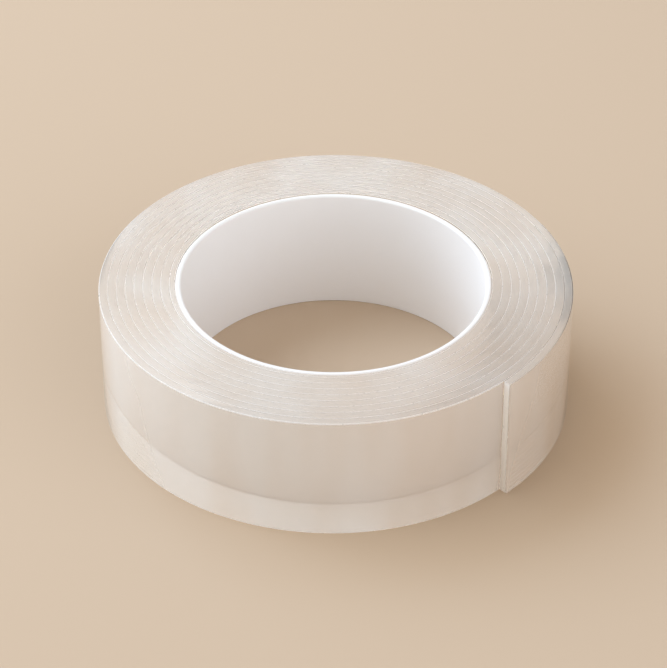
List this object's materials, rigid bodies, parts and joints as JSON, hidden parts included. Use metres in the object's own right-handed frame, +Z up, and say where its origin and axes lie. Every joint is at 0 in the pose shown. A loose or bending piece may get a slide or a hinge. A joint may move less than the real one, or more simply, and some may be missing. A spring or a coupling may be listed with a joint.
{
  "type": "roll of gel mounting tape",
  "caption": "Roll of thick milky-clear double-sided gel mounting tape on a thin white plastic core, with a free end and a liner tab that peel.",
  "frame": {"origin": "on the core's axis, at the flat face that the roll lies on", "axes": "+Z up along the core's axis; the cut end of the tape is at 46 degrees clockwise from +X, seen from above"},
  "size_m": [0.1183, 0.1172, 0.0332],
  "materials": {
    "core": "satin",
    "gel": "satin",
    "liner": "gloss"
  },
  "bodies": {
    "roll": {"core": "core", "gel_roll": "gel", "liner_roll": "liner"},
    "tape_bend_1": {"gel_end_1": "gel", "liner_end_1": "liner"},
    "tape_bend_2": {"gel_end_2": "gel", "liner_end_2": "liner"},
    "tape_bend_3": {"gel_end_3": "gel", "liner_end_3": "liner"},
    "tape_bend_4": {"gel_end_4": "gel", "liner_end_4": "liner"},
    "tape_bend_5": {"gel_end_5": "gel", "liner_end_5": "liner"},
    "tape_grip": {"gel_end_6": "gel", "liner_end_6": "liner"},
    "liner_tab_1": {"liner_tab_1": "liner"},
    "liner_tab_2": {"liner_tab_2": "liner"},
    "liner_tab_3": {"liner_tab_3": "liner"}
  },
  "joints": [
    {"name": "tape_peel_1", "type": "hinge", "parent": "roll", "child": "tape_bend_1", "pos_m": [0.0551, 0.0217, 0], "axis": [0, 0, 1], "range_deg": [0, 20]},
    {"name": "tape_peel_2", "type": "hinge", "parent": "tape_bend_1", "child": "tape_bend_2", "pos_m": [0.05763, 0.01437, 0], "axis": [0, 0, 1], "range_deg": [0, 20]},
    {"name": "tape_peel_3", "type": "hinge", "parent": "tape_bend_2", "child": "tape_bend_3", "pos_m": [0.05918, 0.00674, 0], "axis": [0, 0, 1], "range_deg": [0, 20]},
    {"name": "tape_peel_4", "type": "hinge", "parent": "tape_bend_3", "child": "tape_bend_4", "pos_m": [0.05973, -0.00104, 0], "axis": [0, 0, 1], "range_deg": [0, 20]},
    {"name": "tape_peel_5", "type": "hinge", "parent": "tape_bend_4", "child": "tape_bend_5", "pos_m": [0.05926, -0.00886, 0], "axis": [0, 0, 1], "range_deg": [0, 20]},
    {"name": "tape_peel_6", "type": "hinge", "parent": "tape_bend_5", "child": "tape_grip", "pos_m": [0.05777, -0.01656, 0], "axis": [0, 0, 1], "range_deg": [0, 20]},
    {"name": "liner_peel_1", "type": "hinge", "parent": "tape_grip", "child": "liner_tab_1", "pos_m": [0.05527, -0.02403, 0], "axis": [0, 0, 1], "range_deg": [0, 35]},
    {"name": "liner_peel_2", "type": "hinge", "parent": "liner_tab_1", "child": "liner_tab_2", "pos_m": [0.0518, -0.03112, 0], "axis": [0, 0, 1], "range_deg": [0, 35]},
    {"name": "liner_peel_3", "type": "hinge", "parent": "liner_tab_2", "child": "liner_tab_3", "pos_m": [0.04742, -0.03772, 0], "axis": [0, 0, 1], "range_deg": [0, 35]}
  ],
  "couplings": [
    {"joint": "tape_peel_2", "follows": "tape_peel_1", "ratio": 1},
    {"joint": "tape_peel_3", "follows": "tape_peel_1", "ratio": 1},
    {"joint": "tape_peel_4", "follows": "tape_peel_1", "ratio": 1},
    {"joint": "tape_peel_5", "follows": "tape_peel_1", "ratio": 1},
    {"joint": "tape_peel_6", "follows": "tape_peel_1", "ratio": 1},
    {"joint": "liner_peel_2", "follows": "liner_peel_1", "ratio": 1},
    {"joint": "liner_peel_3", "follows": "liner_peel_1", "ratio": 1}
  ]
}
